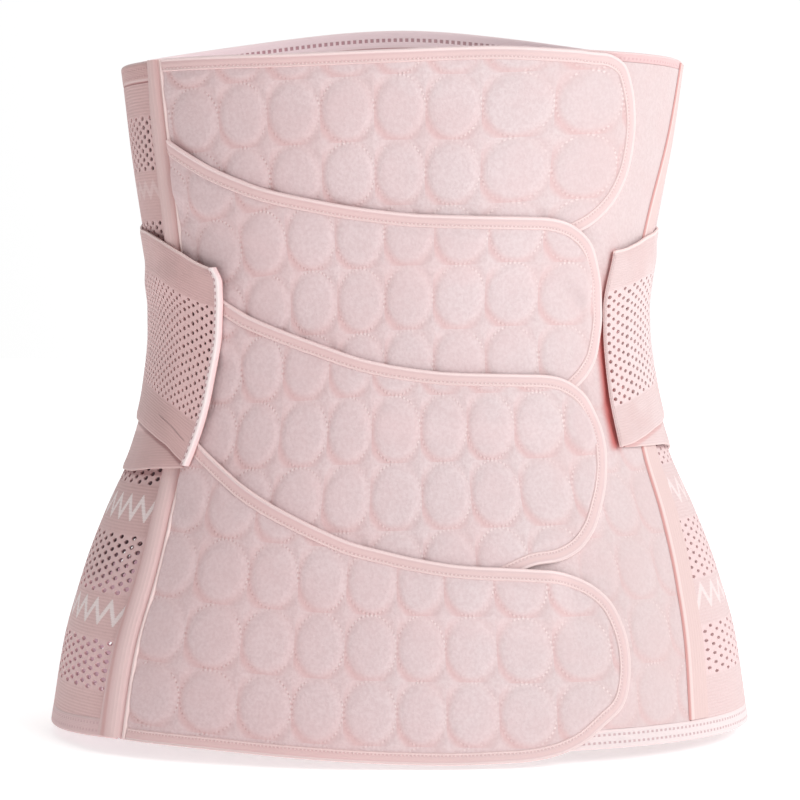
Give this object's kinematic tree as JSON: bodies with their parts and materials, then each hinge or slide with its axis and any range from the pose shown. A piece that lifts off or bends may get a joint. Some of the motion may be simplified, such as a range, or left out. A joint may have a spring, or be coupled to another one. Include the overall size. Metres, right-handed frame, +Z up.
{
  "type": "abdominal binder",
  "caption": "Soft hourglass belly binder with quilted overlapping front flaps, elastic side bands and an open-knit back, stored as worn.",
  "frame": {"origin": "on the torso's axis at the height of the waist, the narrowest place", "axes": "+Z up the torso, -Y out of the front where the flaps lie, +X to the side that the flaps' rounded ends point to, millimetres in the source and metres in the row"},
  "size_m": [0.3501, 0.2375, 0.3566],
  "materials": {
    "cotton": "soft quilted cotton face, pale pink",
    "knit": "stretch knit with open mesh bands",
    "tape": "woven elastic tape",
    "casing": "soft turned casing",
    "binding": "satin binding with a slight sheen",
    "elastic": "elastic band with a mesh middle"
  },
  "bodies": {
    "root": {"front_panel": "cotton", "knit_panel": "knit", "hem_tape_top": "tape", "hem_tape_bottom": "tape", "casing_left": "casing", "casing_right": "knit", "flap_1": "cotton", "flap_2": "cotton", "flap_3": "cotton", "flap_4": "cotton", "binding_1": "binding", "binding_2": "binding", "binding_3": "binding", "binding_4": "binding", "lower_band": "elastic", "upper_band": "elastic", "band_end_left": "tape", "band_end_right": "tape"}
  },
  "joints": []
}
